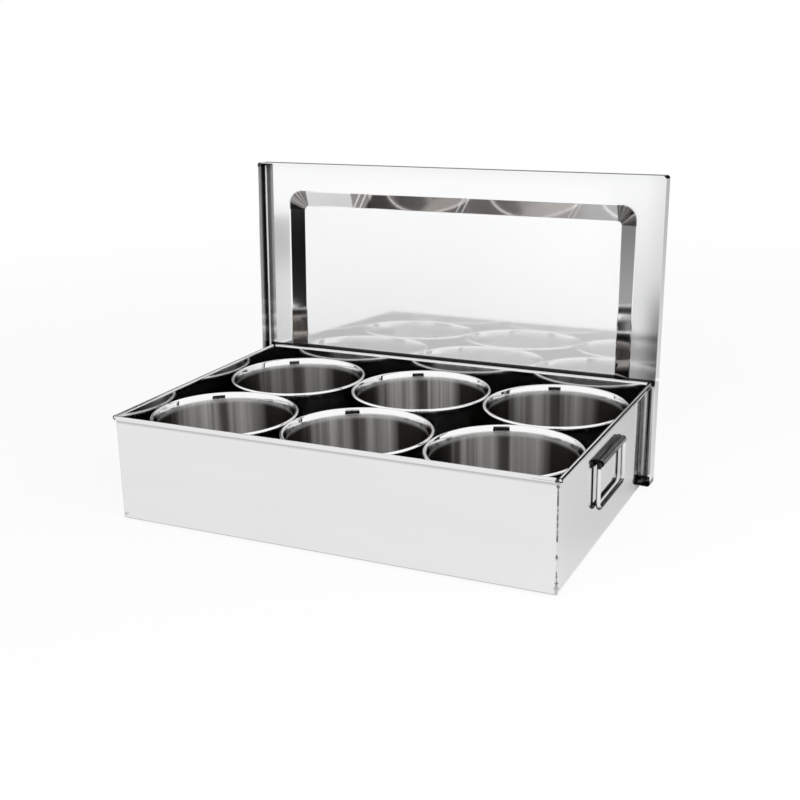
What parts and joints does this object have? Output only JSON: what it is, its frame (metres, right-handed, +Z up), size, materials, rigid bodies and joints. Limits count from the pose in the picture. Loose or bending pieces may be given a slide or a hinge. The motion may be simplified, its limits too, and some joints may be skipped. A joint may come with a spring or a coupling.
{
  "type": "spice box",
  "caption": "Rectangular polished steel box with a wired rim and drop handles, holding round lift-out pots for spices, with its pressed lid stood upright behind it.",
  "frame": {"origin": "middle of the floor's pressed field, on the surface that the box stands on", "axes": "+X along the long side to the right as seen from the front, +Y to the back where the lid stands, +Z up"},
  "size_m": [0.441, 0.3051, 0.3031],
  "materials": {
    "polished_steel": "polished stainless sheet and wire",
    "satin_steel": "drawn stainless, satin inside, polished rim"
  },
  "bodies": {
    "tray": {"tray": "polished_steel", "rim_wire_front": "polished_steel", "rim_wire_back": "polished_steel", "rim_wire_left": "polished_steel", "rim_wire_right": "polished_steel", "handle_strap_left": "polished_steel", "handle_strap_right": "polished_steel"},
    "bail_left": {"handle_bail_left": "polished_steel"},
    "bail_right": {"handle_bail_right": "polished_steel"},
    "pot_front_left": {"pot_front_left": "satin_steel"},
    "pot_front_middle": {"pot_front_middle": "satin_steel"},
    "pot_front_right": {"pot_front_right": "satin_steel"},
    "pot_back_left": {"pot_back_left": "satin_steel"},
    "pot_back_middle": {"pot_back_middle": "satin_steel"},
    "pot_back_right": {"pot_back_right": "satin_steel"},
    "lid": {"lid": "polished_steel"}
  },
  "joints": [
    {"name": "bail_left_hinge", "type": "hinge", "parent": "tray", "child": "bail_left", "pos_m": [-0.21528, 0, 0.079], "axis": [0, 1, 0], "range_deg": [0, 170]},
    {"name": "bail_right_hinge", "type": "hinge", "parent": "tray", "child": "bail_right", "pos_m": [0.21528, 0, 0.079], "axis": [0, -1, 0], "range_deg": [0, 170]},
    {"name": "pot_front_left_lift", "type": "slide", "parent": "tray", "child": "pot_front_left", "axis": [0, 0, 1], "range_m": [0, 0.115]},
    {"name": "pot_front_middle_lift", "type": "slide", "parent": "tray", "child": "pot_front_middle", "axis": [0, 0, 1], "range_m": [0, 0.115]},
    {"name": "pot_front_right_lift", "type": "slide", "parent": "tray", "child": "pot_front_right", "axis": [0, 0, 1], "range_m": [0, 0.115]},
    {"name": "pot_back_left_lift", "type": "slide", "parent": "tray", "child": "pot_back_left", "axis": [0, 0, 1], "range_m": [0, 0.115]},
    {"name": "pot_back_middle_lift", "type": "slide", "parent": "tray", "child": "pot_back_middle", "axis": [0, 0, 1], "range_m": [0, 0.115]},
    {"name": "pot_back_right_lift", "type": "slide", "parent": "tray", "child": "pot_back_right", "axis": [0, 0, 1], "range_m": [0, 0.115]},
    {"name": "lid_pull", "type": "slide", "parent": "tray", "child": "lid", "axis": [0, 1, 0], "range_m": [0, 0.08]}
  ]
}
